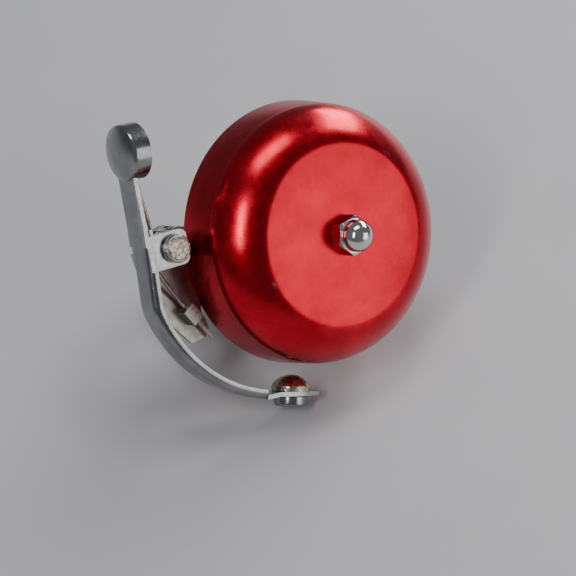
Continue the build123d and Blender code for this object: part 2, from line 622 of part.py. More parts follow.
def make_pivot_rivet():
    """Shoulder rivet fixed in the bracket, with a flat head above the lever's upper ear."""
    washer_top = LEVER_TOP_Z + PIVOT_END_PLAY + PIVOT_WASHER_THICK
    journal = rod(PIN_DIA / 2, BRACKET_Z, washer_top, PIVOT_X, PIVOT_Y)
    shoulder_top = LEVER_Z - PIVOT_END_PLAY - PIVOT_WASHER_THICK
    shoulder = rod(PIN_SHOULDER_DIA / 2, BRACKET_TOP_Z, shoulder_top, PIVOT_X, PIVOT_Y)
    head = rod(PIN_HEAD_DIA / 2, washer_top, washer_top + PIN_HEAD_HEIGHT, PIVOT_X, PIVOT_Y)
    head = chamfer(head.edges().group_by(Axis.Z)[-1], PIN_HEAD_CHAMFER)
    tail = rod(PIN_TAIL_DIA / 2, BRACKET_Z - PIN_TAIL_HEIGHT, BRACKET_Z, PIVOT_X, PIVOT_Y)
    tail = fillet(tail.edges().group_by(Axis.Z)[0], PIN_TAIL_ROUND)
    return journal + shoulder + head + tail


def make_pivot_washer(low):
    """Thin washer on the rivet beside one ear."""
    inner = PIN_DIA / 2 + SEAT_FIT
    return tube(PIVOT_WASHER_DIA / 2, inner, low, low + PIVOT_WASHER_THICK, PIVOT_X, PIVOT_Y)


def make_spring_sleeve():
    """Sleeve on the rivet between the ears, inside the coil."""
    inner = PIN_DIA / 2 + SEAT_FIT
    low = LEVER_Z + LEVER_SHEET + PIVOT_END_PLAY
    return tube(SLEEVE_DIA / 2, inner, low, low + EAR_SPACE - 2 * PIVOT_END_PLAY, PIVOT_X, PIVOT_Y)


def leaving_angle(x, y, side):
    """Angle on the coil at which the wire leaves in a straight line for a point."""
    return degrees(atan2(y, x) + side * acos(COIL_MEAN_DIA / 2 / sqrt(x * x + y * y)))


def wire_run(*points):
    """Straight runs of wire through a list of points, with a ball at each bend."""
    ball = Sphere(WIRE_DIA / 2)
    wire = Pos(*points[0]) * ball
    for here, there in zip(points, points[1:]):
        way = Vector(*there) - Vector(*here)
        run = extrude(Plane(origin=here, z_dir=way) * Circle(WIRE_DIA / 2), way.length)
        wire = wire + run + Pos(*there) * ball
    return wire


def hook_level():
    """Level of the wire's centre where it passes under the bracket's hook."""
    return BRACKET_Z + HOOK_HEIGHT - BRACKET_SHEET - WIRE_DIA / 2 - WIRE_CLEARANCE


def lower_leg_points(start, bend):
    """Points of the leg that leaves the coil, bends and runs level under the hook."""
    hook = (BRACKET_FRAME * Pos(HOOK_ALONG, HOOK_ACROSS, hook_level())).position
    run = Vector(hook.X - bend[0], hook.Y - bend[1]).normalized()
    level = hook - run * HOOK_LENGTH
    end = hook + run * LOWER_LEG_PAST_HOOK
    return start, bend, tuple(level), tuple(end)


def make_torsion_spring():
    """Coil round the sleeve, one leg to the stem beside the pad and one under the bracket's hook."""
    low = LEVER_Z + LEVER_SHEET + PIVOT_END_PLAY + WIRE_DIA / 2 + COIL_CLEARANCE
    rest_x = PAD_CENTRE_X - PAD_DIA / 2 - UPPER_LEG_SHORT_OF_PAD
    rest_x, rest_y = stem_point(rest_x, LEVER_SHEET + WIRE_DIA / 2 + WIRE_CLEARANCE)
    lower_angle = leaving_angle(LOWER_LEG_BEND_X, LOWER_LEG_BEND_Y, -1)
    upper_angle = leaving_angle(rest_x - PIVOT_X, rest_y - PIVOT_Y, 1)
    turns = COIL_TURNS + (lower_angle - upper_angle) / 360
    helix = Helix(pitch=COIL_HEIGHT / turns, height=COIL_HEIGHT, radius=COIL_MEAN_DIA / 2, lefthand=True)
    helix = Pos(PIVOT_X, PIVOT_Y, low) * Rot(0, 0, lower_angle) * helix
    coil = sweep(Plane(origin=helix @ 0, z_dir=helix % 0) * Circle(WIRE_DIA / 2), path=helix, is_frenet=True)
    bend = (PIVOT_X + LOWER_LEG_BEND_X, PIVOT_Y + LOWER_LEG_BEND_Y, low)
    lower_leg = wire_run(*lower_leg_points(tuple(helix @ LEG_OVERLAP), bend))
    upper_leg = wire_run(tuple(helix @ (1 - LEG_OVERLAP)), (rest_x, rest_y, LEVER_Z + UPPER_LEG_RISE))
    return coil + lower_leg + upper_leg


def build():
    """Write one STEP file for each named piece."""
    os.makedirs("parts", exist_ok=True)
    upper_washer_z = LEVER_TOP_Z + PIVOT_END_PLAY
    lower_washer_z = LEVER_Z - PIVOT_END_PLAY - PIVOT_WASHER_THICK
    pieces = {
        "dome": make_dome(),
        "acorn_nut": make_acorn_nut(),
        "dome_post": make_dome_post(),
        "saddle_washer": make_saddle_washer(),
        "dome_seat_washer": make_seat_washer(),
        "dome_spring_washer": make_spring_washer(),
        "clamp_band": make_clamp_band(),
        "bar_liner": make_bar_liner(),
        "clamp_screw": make_clamp_screw(),
        "clamp_screw_washer": make_screw_washer(),
        "clamp_nut": make_clamp_nut(),
        "lever_bracket": make_lever_bracket(),
        "strike_lever": make_strike_lever(),
        "hammer_head": make_hammer_head(),
        "hammer_rivet_cap": make_hammer_cap(),
        "pivot_rivet": make_pivot_rivet(),
        "pivot_upper_washer": make_pivot_washer(upper_washer_z),
        "pivot_lower_washer": make_pivot_washer(lower_washer_z),
        "spring_sleeve": make_spring_sleeve(),
        "torsion_spring": make_torsion_spring(),
    }
    for name, piece in pieces.items():
        export_step(piece, f"parts/{name}.step")


build()
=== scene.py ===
"""Bicycle bell with a side lever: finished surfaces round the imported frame."""

import logging
import math
from abc import ABC, abstractmethod
from dataclasses import dataclass, field
from enum import Enum

import bmesh
import bpy
from mathutils import Matrix, Vector
from mathutils.geometry import interpolate_bezier


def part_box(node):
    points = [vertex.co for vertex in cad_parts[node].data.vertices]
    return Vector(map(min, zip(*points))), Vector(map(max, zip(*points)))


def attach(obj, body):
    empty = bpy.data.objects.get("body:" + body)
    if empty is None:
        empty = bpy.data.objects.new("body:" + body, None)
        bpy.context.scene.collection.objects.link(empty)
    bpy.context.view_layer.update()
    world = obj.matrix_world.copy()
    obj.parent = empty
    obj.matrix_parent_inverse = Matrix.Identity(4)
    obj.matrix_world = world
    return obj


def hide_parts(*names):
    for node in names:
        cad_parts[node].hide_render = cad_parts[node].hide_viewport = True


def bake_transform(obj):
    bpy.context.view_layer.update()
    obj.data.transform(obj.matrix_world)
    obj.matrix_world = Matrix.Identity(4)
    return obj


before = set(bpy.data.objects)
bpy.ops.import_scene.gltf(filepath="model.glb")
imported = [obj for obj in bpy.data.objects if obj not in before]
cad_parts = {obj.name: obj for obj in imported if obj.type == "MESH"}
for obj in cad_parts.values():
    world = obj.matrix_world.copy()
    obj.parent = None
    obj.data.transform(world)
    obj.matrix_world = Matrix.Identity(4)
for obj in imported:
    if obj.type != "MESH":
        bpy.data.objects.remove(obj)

LOG = logging.getLogger("bell")
MM = 0.001
MERGE = 0.002 * MM
SHARP_ANGLE = math.radians(32)
FLAT_ANGLE = math.radians(0.4)

Colour = tuple[float, float, float]
Point = tuple[float, float]
Socket = bpy.types.NodeSocket


class Body(Enum):
    """Rigid bodies that the pieces ride on."""

    CLAMP = "clamp"
    LEVER = "lever"
    SCREW_CARRIER = "screw_carrier"
    SCREW = "screw"


class Stretch(Enum):
    """How a texture is drawn out, as scales along X, Y and Z."""

    EVEN = (1.0, 1.0, 1.0)
    ALONG_X = (0.12, 1.0, 1.0)
    ALONG_Y = (1.0, 0.12, 1.0)
    ALONG_Z = (1.0, 1.0, 0.12)


class NodeSheet:
    """A material's node tree with short calls for the nodes used here."""

    def __init__(self, name: str) -> None:
        """Start a material whose textures read object coordinates in millimetres.

        Args:
            name: The material's name.
        """
        self.material = bpy.data.materials.new(name)
        self.material.use_nodes = True
        self.nodes = self.material.node_tree.nodes
        self.links = self.material.node_tree.links
        self.shader = self.nodes["Principled BSDF"]
        coords = self.nodes.new("ShaderNodeTexCoord")
        self.place = coords.outputs["Object"]

    def link(self, source: Socket, target: Socket) -> None:
        """Connect two sockets.

        Args:
            source: An output.
            target: An input.
        """
        self.links.new(source, target)

    def mapped(self, stretch: Stretch = Stretch.EVEN, turn: float = 0.0) -> Socket:
        """Object coordinates scaled to millimetres.

        Args:
            stretch: How the texture is drawn out.
            turn: Turn about Z in degrees, before the stretch.

        Returns:
            The vector output.
        """
        node = self.nodes.new("ShaderNodeMapping")
        node.vector_type = "POINT"
        node.inputs["Scale"].default_value = [s / MM for s in stretch.value]
        node.inputs["Rotation"].default_value[2] = math.radians(turn)
        self.link(self.place, node.inputs["Vector"])
        return node.outputs["Vector"]

    def noise(
        self, scale: float, detail: float = 4.0, stretch: Stretch = Stretch.EVEN, turn: float = 0.0
    ) -> Socket:
        """Noise with a given number of features per millimetre.

        Args:
            scale: Features per millimetre.
            detail: Octaves of finer noise.
            stretch: How the noise is drawn out.
            turn: Turn about Z in degrees.

        Returns:
            The factor output, from 0 to 1.
        """
        node = self.nodes.new("ShaderNodeTexNoise")
        node.inputs["Scale"].default_value = scale
        node.inputs["Detail"].default_value = detail
        node.inputs["Roughness"].default_value = 0.6
        self.link(self.mapped(stretch, turn), node.inputs["Vector"])
        return node.outputs["Fac"]

    def cells(self, scale: float) -> Socket:
        """Distance to the nearest of many scattered points.

        Args:
            scale: Points per millimetre.

        Returns:
            The distance output.
        """
        node = self.nodes.new("ShaderNodeTexVoronoi")
        node.inputs["Scale"].default_value = scale
        self.link(self.mapped(), node.inputs["Vector"])
        return node.outputs["Distance"]

    def ranged(
        self, value: Socket, low: float, high: float, to_low: float = 0.0, to_high: float = 1.0
    ) -> Socket:
        """Map a range of values to another, clamped.

        Args:
            value: The value to map.
            low: Start of the range read.
            high: End of the range read.
            to_low: Result at low.
            to_high: Result at high.

        Returns:
            The mapped value.
        """
        node = self.nodes.new("ShaderNodeMapRange")
        for name, number in (("From Min", low), ("From Max", high), ("To Min", to_low), ("To Max", to_high)):
            node.inputs[name].default_value = number
        self.link(value, node.inputs["Value"])
        return node.outputs["Result"]

    def maths(self, operation: str, first: Socket, second: Socket | float) -> Socket:
        """A math node.

        Args:
            operation: The node's operation.
            first: First value.
            second: Second value, an output or a number.

        Returns:
            The result.
        """
        node = self.nodes.new("ShaderNodeMath")
        node.operation = operation
        self.link(first, node.inputs[0])
        if isinstance(second, bpy.types.NodeSocket):
            self.link(second, node.inputs[1])
        else:
            node.inputs[1].default_value = second
        return node.outputs[0]

    def blend(self, share: Socket, first: Socket | Colour, second: Socket | Colour) -> Socket:
        """Mix two colours.

        Args:
            share: 0 for the first, 1 for the second.
            first: An output or a colour.
            second: An output or a colour.

        Returns:
            The colour output.
        """
        node = self.nodes.new("ShaderNodeMix")
        node.data_type = "RGBA"
        self.link(share, node.inputs["Factor"])
        for socket, value in ((node.inputs[6], first), (node.inputs[7], second)):
            if isinstance(value, bpy.types.NodeSocket):
                self.link(value, socket)
            else:
                socket.default_value = (*value, 1.0)
        return node.outputs[2]

    def edges(self, low: float, high: float) -> Socket:
        """Share of wear on convex edges.

        Args:
            low: Pointiness where wear starts.
            high: Pointiness where it is full.

        Returns:
            A value from 0 to 1.
        """
        node = self.nodes.new("ShaderNodeNewGeometry")
        return self.ranged(node.outputs["Pointiness"], low, high)

    def bump(self, height: Socket, depth_mm: float, under: Socket | None = None) -> Socket:
        """A bump layer.

        Args:
            height: Height from 0 to 1.
            depth_mm: Depth of the relief.
            under: The layer below it.

        Returns:
            The normal output.
        """
        node = self.nodes.new("ShaderNodeBump")
        node.inputs["Strength"].default_value = 0.6
        node.inputs["Distance"].default_value = depth_mm * MM
        self.link(height, node.inputs["Height"])
        if under is not None:
            self.link(under, node.inputs["Normal"])
        return node.outputs["Normal"]

    def set(self, **values: float) -> None:
        """Set constants on the shader's own sockets.

        Args:
            **values: Socket names with spaces written as underscores.
        """
        for name, value in values.items():
            self.shader.inputs[name.replace("_", " ")].default_value = value

    def drive(self, **sources: Socket) -> None:
        """Connect outputs to the shader's sockets.

        Args:
            **sources: Socket names with spaces written as underscores.
        """
        for name, source in sources.items():
            self.link(source, self.shader.inputs[name.replace("_", " ")])


class Finish(ABC):
    """A surface that can be made into a material."""

    name: str

    @abstractmethod
    def paint(self, sheet: NodeSheet) -> None:
        """Fill the node sheet.

        Args:
            sheet: The sheet of a new material.
        """

    def make(self) -> bpy.types.Material:
        """Build the material.

        Returns:
            The finished material.
        """
        sheet = NodeSheet(self.name)
        self.paint(sheet)
        return sheet.material


@dataclass(frozen=True)
class Anodised(Finish):
    """Dyed and polished aluminium with a clear skin."""

    name: str
    deep: Colour
    bright: Colour
    roughness: float = 0.26
    spread: float = 0.06

    def paint(self, sheet: NodeSheet) -> None:
        """Fill the node sheet.

        Args:
            sheet: The sheet of a new material.
        """
        cloud = sheet.noise(0.09, 3.0)
        colour = sheet.blend(sheet.ranged(cloud, 0.35, 0.65), self.deep, self.bright)
        specks = sheet.ranged(sheet.noise(2.6, 2.0), 0.70, 0.78)
        colour = sheet.blend(specks, colour, tuple(0.7 * c for c in self.deep))
        worn = sheet.maths("MULTIPLY", sheet.edges(0.56, 0.66), sheet.ranged(sheet.noise(1.1), 0.5, 0.7))
        colour = sheet.blend(worn, colour, (0.75, 0.62, 0.6))
        scratch = sheet.ranged(sheet.noise(1.8, 6.0, Stretch.ALONG_X, 35.0), 0.66, 0.72)
        glossy, dull = self.roughness - self.spread / 2, self.roughness + self.spread
        haze = sheet.ranged(sheet.noise(0.35, 5.0), 0.3, 0.7, glossy, dull)
        rough = sheet.maths("ADD", haze, sheet.maths("MULTIPLY", scratch, 0.06))
        peel = sheet.bump(sheet.noise(1.4, 2.0), 0.004)
        sheet.drive(Base_Color=colour, Roughness=rough, Normal=sheet.bump(scratch, 0.0015, peel))
        sheet.set(Metallic=1.0, Coat_Weight=0.15, Coat_Roughness=0.12)


@dataclass(frozen=True)
class PlatedSteel(Finish):
    """Plated or bare steel with grain, scratches, stains and bright edges."""

    name: str
    base: Colour
    patch: Colour
    roughness: float
    stain: Colour = (0.16, 0.11, 0.06)
    stain_from: float = 0.62
    grain: Stretch = Stretch.ALONG_X
    dents: float = 0.01
    scratches: float = 0.5

    def paint(self, sheet: NodeSheet) -> None:
        """Fill the node sheet.

        Args:
            sheet: The sheet of a new material.
        """
        colour = sheet.blend(sheet.ranged(sheet.noise(0.25, 5.0), 0.35, 0.65), self.base, self.patch)
        stained = sheet.ranged(sheet.noise(0.55, 8.0), self.stain_from, self.stain_from + 0.08)
        colour = sheet.blend(stained, colour, self.stain)
        worn = sheet.maths("MULTIPLY", sheet.edges(0.53, 0.6), sheet.ranged(sheet.noise(0.9), 0.3, 0.6))
        colour = sheet.blend(worn, colour, tuple(min(1.0, 1.25 * c) for c in self.base))
        lines = sheet.ranged(sheet.noise(3.2, 6.0, self.grain), 0.58, 0.70)
        cross = sheet.ranged(sheet.noise(1.7, 6.0, self.grain, 63.0), 0.64, 0.70)
        marks = sheet.maths("MAXIMUM", lines, cross)
        rough = sheet.ranged(sheet.noise(0.7, 6.0), 0.3, 0.7, self.roughness * 0.75, self.roughness * 1.35)
        rough = sheet.maths("ADD", rough, sheet.maths("MULTIPLY", marks, 0.12 * self.scratches))
        rough = sheet.maths("ADD", rough, sheet.maths("MULTIPLY", stained, 0.25))
        metal = sheet.ranged(stained, 0.0, 1.0, 1.0, 0.35)
        relief = sheet.bump(sheet.noise(0.9, 3.0), self.dents)
        relief = sheet.bump(marks, 0.003 * self.scratches, relief)
        relief = sheet.bump(stained, 0.008, relief)
        sheet.drive(Base_Color=colour, Roughness=rough, Metallic=metal, Normal=relief)


@dataclass(frozen=True)
class HammeredSteel(Finish):
    """Rivet end peened flat, with small overlapping dents."""

    name: str
    base: Colour
    patch: Colour
    roughness: float = 0.32

    def paint(self, sheet: NodeSheet) -> None:
        """Fill the node sheet.

        Args:
            sheet: The sheet of a new material.
        """
        dents = sheet.ranged(sheet.cells(1.5), 0.0, 0.75)
        colour = sheet.blend(sheet.ranged(sheet.noise(1.2, 6.0), 0.35, 0.65), self.base, self.patch)
        hollow = sheet.ranged(dents, 0.55, 0.9)
        colour = sheet.blend(hollow, colour, (0.28, 0.22, 0.15))
        worn = sheet.edges(0.52, 0.6)
        colour = sheet.blend(worn, colour, (0.82, 0.8, 0.76))
        rough = sheet.ranged(sheet.noise(2.2, 5.0), 0.3, 0.7, self.roughness * 0.7, self.roughness * 1.4)
        relief = sheet.bump(dents, 0.12)
        relief = sheet.bump(sheet.noise(4.0, 5.0), 0.02, relief)
        sheet.drive(Base_Color=colour, Roughness=rough, Normal=relief)
        sheet.set(Metallic=1.0)


@dataclass(frozen=True)
class Rubber(Finish):
    """Moulded rubber, a little dusty."""

    name: str
    base: Colour
    dust: Colour

    def paint(self, sheet: NodeSheet) -> None:
        """Fill the node sheet.

        Args:
            sheet: The sheet of a new material.
        """
        dusty = sheet.ranged(sheet.noise(0.6, 7.0), 0.52, 0.75, 0.0, 0.5)
        worn = sheet.maths("MULTIPLY", sheet.edges(0.52, 0.6), 0.5)
        colour = sheet.blend(sheet.maths("MAXIMUM", dusty, worn), self.base, self.dust)
        rough = sheet.ranged(sheet.noise(1.3, 5.0), 0.3, 0.7, 0.55, 0.85)
        relief = sheet.bump(sheet.noise(3.0, 4.0), 0.02)
        scratch = sheet.ranged(sheet.noise(2.0, 5.0, Stretch.ALONG_X), 0.64, 0.7)
        sheet.drive(Base_Color=colour, Roughness=rough, Normal=sheet.bump(scratch, 0.006, relief))


@dataclass(frozen=True)
class FloorPaint(Finish):
    """Plain pale floor that only shows from above."""

    name: str
    tone: Colour
    roughness: float = 0.5

    def paint(self, sheet: NodeSheet) -> None:
        """Fill the node sheet.

        Args:
            sheet: The sheet of a new material.
        """
        grain = sheet.ranged(sheet.noise(0.02, 3.0), 0.3, 0.7)
        colour = sheet.blend(grain, self.tone, tuple(0.96 * c for c in self.tone))
        sheet.drive(Base_Color=colour)
        sheet.set(Roughness=self.roughness)
        side = sheet.nodes.new("ShaderNodeNewGeometry")
        clear = sheet.nodes.new("ShaderNodeBsdfTransparent")
        mixed = sheet.nodes.new("ShaderNodeMixShader")
        sheet.link(side.outputs["Backfacing"], mixed.inputs[0])
        sheet.link(sheet.shader.outputs[0], mixed.inputs[1])
        sheet.link(clear.outputs[0], mixed.inputs[2])
        sheet.link(mixed.outputs[0], sheet.nodes["Material Output"].inputs["Surface"])


class Finishes:
    """Every finish on the bell, each made once."""

    def __init__(self) -> None:
        """Make the materials."""
        self.dome = Anodised("candy_red_anodised", (0.50, 0.006, 0.018), (0.66, 0.012, 0.03)).make()
        self.bright = PlatedSteel(
            "bright_nickel", (0.78, 0.77, 0.76), (0.66, 0.66, 0.67), 0.1,
            stain_from=0.74, dents=0.004, scratches=0.3,
        ).make()
        self.lever = PlatedSteel(
            "worn_nickel_lever", (0.34, 0.34, 0.335), (0.25, 0.255, 0.26), 0.19, stain_from=0.72, dents=0.012
        ).make()
        self.bracket = PlatedSteel(
            "dull_zinc_bracket", (0.44, 0.42, 0.38), (0.33, 0.31, 0.28), 0.34, stain_from=0.72, dents=0.015
        ).make()
        self.band = PlatedSteel("nickel_band", (0.56, 0.56, 0.57), (0.42, 0.42, 0.43), 0.24).make()
        self.turned = PlatedSteel(
            "turned_steel", (0.55, 0.54, 0.53), (0.42, 0.41, 0.4), 0.26,
            grain=Stretch.ALONG_Y, stain_from=0.68,
        ).make()
        self.screw = PlatedSteel(
            "blued_screw_steel", (0.34, 0.34, 0.35), (0.24, 0.24, 0.25), 0.3,
            grain=Stretch.ALONG_Z, stain_from=0.66,
        ).make()
        self.wire = PlatedSteel(
            "spring_wire", (0.46, 0.44, 0.42), (0.34, 0.32, 0.3), 0.26, grain=Stretch.ALONG_Z, stain_from=0.6
        ).make()
        self.brass = PlatedSteel(
            "plain_brass", (0.62, 0.46, 0.2), (0.48, 0.34, 0.14), 0.28, stain_from=0.66
        ).make()
        self.rivet = HammeredSteel("hammered_rivet", (0.66, 0.62, 0.56), (0.46, 0.42, 0.36)).make()
        self.rubber = Rubber("black_rubber", (0.018, 0.018, 0.019), (0.09, 0.085, 0.08)).make()
        self.floor = FloorPaint("pale_floor", (0.62, 0.62, 0.64)).make()


@dataclass
class Piece(ABC):
    """One visible piece that stands for a node of the frame."""

    node: str
    body: Body
    material: bpy.types.Material
    bevel_mm: float = 0.12

    @abstractmethod
    def shape(self, mesh: bmesh.types.BMesh) -> None:
        """Fill the mesh, in metres and in place.

        Args:
            mesh: An empty mesh.
        """

    def soften(self, thing: bpy.types.Object) -> None:
        """Round the sharp edges.

        Args:
            thing: The finished object.
        """
        if self.bevel_mm > 0:
            bevel = thing.modifiers.new("edges", "BEVEL")
            bevel.width = self.bevel_mm * MM
            bevel.segments = 3
            bevel.limit_method = "ANGLE"
            bevel.angle_limit = SHARP_ANGLE
            bevel.harden_normals = True

    def build(self) -> bpy.types.Object:
        """Make the object and tie it to its body.

        Returns:
            The finished object.
        """
        mesh = bmesh.new()
        self.shape(mesh)
        bmesh.ops.remove_doubles(mesh, verts=mesh.verts, dist=MERGE)
        bmesh.ops.recalc_face_normals(mesh, faces=mesh.faces)
        data = bpy.data.meshes.new(self.node + "_finished")
        mesh.to_mesh(data)
        mesh.free()
        data.polygons.foreach_set("use_smooth", [True] * len(data.polygons))
        data.set_sharp_from_angle(angle=SHARP_ANGLE)
        data.materials.append(self.material)
        thing = bpy.data.objects.new(self.node + "_finished", data)
        bpy.context.scene.collection.objects.link(thing)
        self.soften(thing)
        self.attach(thing)
        LOG.info("%s: %d faces on %s", thing.name, len(data.polygons), self.body.value)
        return thing

    def attach(self, thing: bpy.types.Object) -> None:
        """Let the object ride on its body in place of its node.

        Args:
            thing: The finished object.
        """
        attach(thing, self.body.value)
        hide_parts(self.node)


@dataclass
class RoundedCopy(Piece):
    """A node's own shape, merged, cleaned and with rounded edges."""

    def shape(self, mesh: bmesh.types.BMesh) -> None:
        """Fill the mesh from the node.

        Args:
            mesh: An empty mesh.
        """
        mesh.from_mesh(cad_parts[self.node].data)
        bmesh.ops.remove_doubles(mesh, verts=mesh.verts, dist=MERGE)
        bmesh.ops.dissolve_limit(
            mesh, angle_limit=FLAT_ANGLE, use_dissolve_boundaries=False, verts=mesh.verts, edges=mesh.edges
        )


@dataclass
class SpunPiece(Piece):
    """A turned piece: an outline spun round an axis."""

    centre: Vector = field(default_factory=Vector)
    axis: Vector = field(default_factory=lambda: Vector((0, 0, 1)))
    steps: int = 96

    @abstractmethod
    def outline(self) -> list[Point]:
        """The outline as radius and height, in millimetres.

        Returns:
            Points from one end to the other.
        """

    def closed(self) -> bool:
        """Whether the outline is a ring that stays off the axis.

        Returns:
            True for a ring.
        """
        return False

    def shape(self, mesh: bmesh.types.BMesh) -> None:
        """Spin the outline.

        Args:
            mesh: An empty mesh.
        """
        points = [mesh.verts.new((r * MM, 0, h * MM)) for r, h in self.outline()]
        pairs = list(zip(points, points[1:]))
        if self.closed():
            pairs.append((points[-1], points[0]))
        edges = [mesh.edges.new(pair) for pair in pairs]
        bmesh.ops.spin(
            mesh, geom=points + edges, cent=(0, 0, 0), axis=(0, 0, 1), dvec=(0, 0, 0),
            angle=math.tau, steps=self.steps, use_merge=True, use_duplicate=False,
        )
        turn = self.axis.to_track_quat("Z", "X").to_matrix().to_4x4()
        bmesh.ops.transform(mesh, matrix=Matrix.Translation(self.centre) @ turn, verts=mesh.verts)


@dataclass(frozen=True)
class DomeSizes:
    """Sizes of the dome in millimetres."""

    wall: float = 1.6
    skirt_height: float = 10.2
    skirt_taper: float = 0.55
    shoulder_radial: float = 9.4
    shoulder_height: float = 10.0
    fullness: float = 0.43
    hole_radius: float = 2.65
    rim_round: float = 0.35
    crease: float = 0.06
    crease_drop: float = 0.25
    crown_rings: int = 8


@dataclass
class DomeShell(SpunPiece):
    """The bell's spun dome."""

    sizes: DomeSizes = field(default_factory=DomeSizes)

    def side(self, inset: float, count: int) -> list[Point]:
        """One skin of the dome from the crown's hole down to the rim.

        Args:
            inset: Distance inside the outer skin.
            count: Points on the shoulder.

        Returns:
            Radius and height of each point.
        """
        s = self.sizes
        low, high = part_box(self.node)
        radius, rim, crown = high.x / MM, low.z / MM, high.z / MM - inset
        head = Vector((radius - s.skirt_taper - inset, rim + s.skirt_height))
        edge_height = rim + s.skirt_height + s.shoulder_height - inset
        edge = Vector((radius - s.skirt_taper - s.shoulder_radial, edge_height))
        rise, reach = edge.y - head.y, head.x - edge.x
        slope = 2 * (crown - edge.y) / edge.x
        handle = edge + s.fullness * reach * Vector((1, -slope))
        curve = interpolate_bezier(edge, handle, head + Vector((0, s.fullness * rise)), head, count)
        shares = [i / s.crown_rings for i in range(s.crown_rings)]
        width, fall = edge.x - s.hole_radius, crown - edge.y
        top = [(s.hole_radius + width * share, crown - fall * share ** 2) for share in shares]
        outside = inset == 0
        crease = [(head.x + s.crease, head.y - s.crease_drop)] if outside else []
        turned_in = s.rim_round if outside else -s.rim_round
        foot = [(radius - inset, rim + s.rim_round), (radius - inset - turned_in, rim)]
        return top + [(p.x, p.y) for p in curve] + crease + foot

    def outline(self) -> list[Point]:
        """The outline as radius and height, in millimetres.

        Returns:
            Points round the wall.
        """
        return self.side(0.0, 40) + list(reversed(self.side(self.sizes.wall, 24)))

    def closed(self) -> bool:
        """Whether the outline is a ring that stays off the axis.

        Returns:
            True.
        """
        return True


@dataclass(frozen=True)
class RivetSizes:
    """Sizes of the pivot rivet in millimetres, heights from its lowest point."""

    tail_radius: float = 3.1
    tail_height: float = 1.4
    journal_radius: float = 2.0
    collar_radius: float = 3.0
    collar_foot: float = 2.6
    collar_top: float = 4.1
    head_radius: float = 3.2
    head_height: float = 1.5
    ring_radius: float = 2.5


@dataclass
class PivotRivet(SpunPiece):
    """Shoulder rivet with a peened ring on its head."""

    sizes: RivetSizes = field(default_factory=RivetSizes)

    def outline(self) -> list[Point]:
        """The outline as radius and height, in millimetres.

        Returns:
            Points from the lowest to the highest.
        """
        s = self.sizes
        low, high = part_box(self.node)
        top = (high.z - low.z) / MM
        seat = top - s.head_height
        tail = [(0, 0), (s.tail_radius - 0.7, 0), (s.tail_radius - 0.2, 0.2), (s.tail_radius, 0.7)]
        tail += [(s.tail_radius, s.tail_height), (s.journal_radius, s.tail_height)]
        collar = [(s.journal_radius, s.collar_foot), (s.collar_radius, s.collar_foot)]
        collar += [(s.collar_radius, s.collar_top), (s.journal_radius, s.collar_top)]
        head = [(s.journal_radius, seat), (s.head_radius, seat), (s.head_radius, top - 0.55)]
        head += [(s.head_radius - 0.15, top - 0.25), (s.head_radius - 0.4, top - 0.08)]
        ring = [(s.ring_radius + 0.12, top - 0.06), (s.ring_radius, top - 0.22)]
        ring += [(s.ring_radius - 0.15, top - 0.06)]
        crown = [(s.ring_radius - 0.5, top), (s.ring_radius * 0.4, top - 0.1), (0, top - 0.12)]
        return [(r, h + low.z / MM) for r, h in tail + collar + head + ring + crown]


@dataclass(frozen=True)
class HammerSizes:
    """Sizes of the two hammer pieces in millimetres."""

    head_radius: float = 4.45
    head_height: float = 3.7
    head_rim: float = 1.2
    shank_radius: float = 1.6
    cap_radius: float = 3.85
    cap_height: float = 2.5
    cap_round: float = 0.8
    socket_radius: float = 1.62
    socket_depth: float = 1.34
    head_steps: int = 14
    head_lip: float = 0.35
    cap_lip: float = 0.2


@dataclass
class HammerHead(SpunPiece):
    """Mushroom head that strikes the dome."""

    sizes: HammerSizes = field(default_factory=HammerSizes)

    def outline(self) -> list[Point]:
        """The outline as radius and height, in millimetres.

        Returns:
            Points from the shank's end to the head's top.
        """
        s = self.sizes
        low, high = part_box(self.node)
        shank = (high.x - low.x) / MM - s.head_height
        rise = s.head_height - s.head_rim
        ball = (s.head_radius ** 2 + rise ** 2) / (2 * rise)
        start = math.asin(s.head_radius / ball)
        angles = [start * (1 - i / s.head_steps) for i in range(s.head_steps)]
        crown = [(ball * math.sin(a), s.head_height - ball + ball * math.cos(a)) for a in angles]
        stem = [(0, -shank), (s.shank_radius, -shank), (s.shank_radius, 0)]
        lip = [(s.head_radius - 0.25, 0), (s.head_radius - 0.05, 0.1), (s.head_radius, s.head_lip)]
        return stem + lip + [(s.head_radius, s.head_rim - 0.15)] + crown + [(0, s.head_height)]


@dataclass
class HammerCap(SpunPiece):
    """Cap that closes the hammer's shank."""

    sizes: HammerSizes = field(default_factory=HammerSizes)

    def outline(self) -> list[Point]:
        """The outline as radius and height, in millimetres.

        Returns:
            Points from the socket to the cap's outer face.
        """
        s = self.sizes
        angles = [math.radians(90 - 15 * i) for i in range(7)]
        middle = (s.cap_radius - s.cap_round, s.cap_round - s.cap_height)
        corner = [
            (middle[0] + s.cap_round * math.sin(a), middle[1] - s.cap_round * math.cos(a)) for a in angles
        ]
        inside = [(0, -s.socket_depth), (s.socket_radius, -s.socket_depth), (s.socket_radius, 0)]
        lip = [(s.cap_radius - s.cap_lip, 0), (s.cap_radius, -s.cap_lip)]
        return inside + lip + corner + [(0, -s.cap_height)]


def trim(mesh: bmesh.types.BMesh, level: float, side: int) -> None:
    """Cut a mesh level and close the cut.

    Args:
        mesh: The mesh to cut.
        level: Height of the cut in metres.
        side: 1 to take away what is above, -1 what is below.
    """
    everything = mesh.verts[:] + mesh.edges[:] + mesh.faces[:]
    cut = bmesh.ops.bisect_plane(
        mesh, geom=everything, plane_co=(0, 0, level), plane_no=(0, 0, side), clear_outer=True
    )
    rim = [e for e in cut["geom_cut"] if isinstance(e, bmesh.types.BMEdge)]
    bmesh.ops.holes_fill(mesh, edges=rim)


